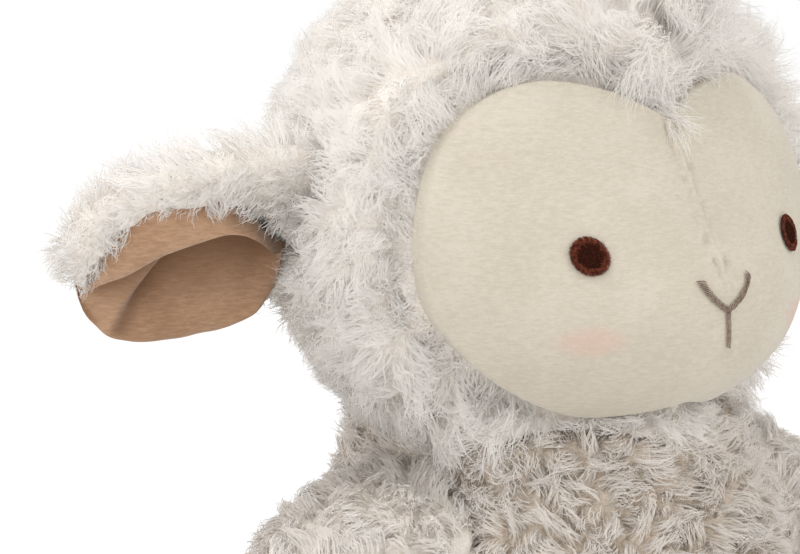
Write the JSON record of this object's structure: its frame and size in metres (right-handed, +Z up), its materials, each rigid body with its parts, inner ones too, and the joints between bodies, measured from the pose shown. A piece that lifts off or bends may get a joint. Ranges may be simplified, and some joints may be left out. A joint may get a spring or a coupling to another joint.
{
  "type": "plush sheep",
  "caption": "Seated soft lamb: long-pile hood round a short-pile embroidered face, drooping lined ears, stuffed body with panels, arms, legs with soles, and a tail.",
  "frame": {"origin": "centre of the flat seat, on the ground", "axes": "+Z up; the face looks along -Y; +X is the lamb's own left side"},
  "size_m": [0.2698, 0.2402, 0.2753],
  "materials": {
    "cream_long_pile": "long curly plush pile, brushed, warm off-white",
    "cream_short_pile": "short matt velboa pile, warm cream",
    "tan_short_pile": "short matt pile, light tan",
    "dark_brown_thread": "satin-stitched embroidery thread, dark brown with a reddish edge",
    "taupe_thread": "satin-stitched embroidery thread, taupe",
    "white_polyester_stuffing": "loose fibre filling, out of sight",
    "white_bean_pouch": "bag of plastic pellets, out of sight"
  },
  "bodies": {
    "torso": {"body_front_panel": "cream_long_pile", "body_back_panel": "cream_long_pile", "body_stuffing": "white_polyester_stuffing", "seat_bean_pouch": "white_bean_pouch"},
    "neck": {"neck_wad": "white_polyester_stuffing"},
    "head": {"face_panel_left": "cream_short_pile", "face_panel_right": "cream_short_pile", "hood_panel_left": "cream_long_pile", "hood_panel_right": "cream_long_pile", "head_stuffing": "white_polyester_stuffing", "eye_left": "dark_brown_thread", "eye_right": "dark_brown_thread", "nose_stitching": "taupe_thread"},
    "ear_right": {"ear_back_right": "cream_long_pile", "ear_lining_right": "tan_short_pile"},
    "ear_left": {"ear_back_left": "cream_long_pile", "ear_lining_left": "tan_short_pile"},
    "arm_right": {"arm_right": "cream_long_pile", "arm_stuffing_right": "white_polyester_stuffing"},
    "arm_left": {"arm_left": "cream_long_pile", "arm_stuffing_left": "white_polyester_stuffing"},
    "leg_right": {"leg_right": "cream_long_pile", "leg_stuffing_right": "white_polyester_stuffing", "sole_pad_right": "tan_short_pile"},
    "leg_left": {"leg_left": "cream_long_pile", "leg_stuffing_left": "white_polyester_stuffing", "sole_pad_left": "tan_short_pile"},
    "tail": {"tail": "cream_long_pile"}
  },
  "joints": [
    {"name": "neck_turn", "type": "hinge", "parent": "torso", "child": "neck", "pos_m": [0, 0, 0.138], "axis": [0, 0, 1], "range_deg": [-20, 20], "stiffness_Nm_per_rad": 1.5},
    {"name": "head_nod", "type": "hinge", "parent": "neck", "child": "head", "pos_m": [0, 0, 0.07], "axis": [1, 0, 0], "range_deg": [-8, 5], "stiffness_Nm_per_rad": 25},
    {"name": "ear_right_flap", "type": "hinge", "parent": "head", "child": "ear_right", "pos_m": [-0.07, 0.015, 0.1965], "axis": [-0.2304, -0.5974, 0.7681], "range_deg": [-20, 20], "stiffness_Nm_per_rad": 0.3},
    {"name": "ear_left_flap", "type": "hinge", "parent": "head", "child": "ear_left", "pos_m": [0.07, 0.015, 0.1965], "axis": [-0.2304, 0.5974, -0.7681], "range_deg": [-20, 20], "stiffness_Nm_per_rad": 0.3},
    {"name": "arm_right_swing", "type": "hinge", "parent": "torso", "child": "arm_right", "pos_m": [-0.05241, -0.007, 0.105], "axis": [-0.9781, 0, 0.2079], "range_deg": [-45, 40], "stiffness_Nm_per_rad": 0.6},
    {"name": "arm_left_swing", "type": "hinge", "parent": "torso", "child": "arm_left", "pos_m": [0.05241, -0.007, 0.105], "axis": [-0.9781, 0, -0.2079], "range_deg": [-45, 40], "stiffness_Nm_per_rad": 0.6},
    {"name": "leg_right_lift", "type": "hinge", "parent": "torso", "child": "leg_right", "pos_m": [-0.037, -0.05, 0.023], "axis": [-0.9272, 0.3746, 0], "range_deg": [-60, 12], "stiffness_Nm_per_rad": 0.6},
    {"name": "leg_left_lift", "type": "hinge", "parent": "torso", "child": "leg_left", "pos_m": [0.037, -0.05, 0.023], "axis": [-0.9272, -0.3746, 0], "range_deg": [-60, 12], "stiffness_Nm_per_rad": 0.6},
    {"name": "tail_wag", "type": "hinge", "parent": "torso", "child": "tail", "pos_m": [0, 0.07216, 0.05369], "axis": [0, 0, 1], "range_deg": [-25, 25], "stiffness_Nm_per_rad": 0.05}
  ]
}
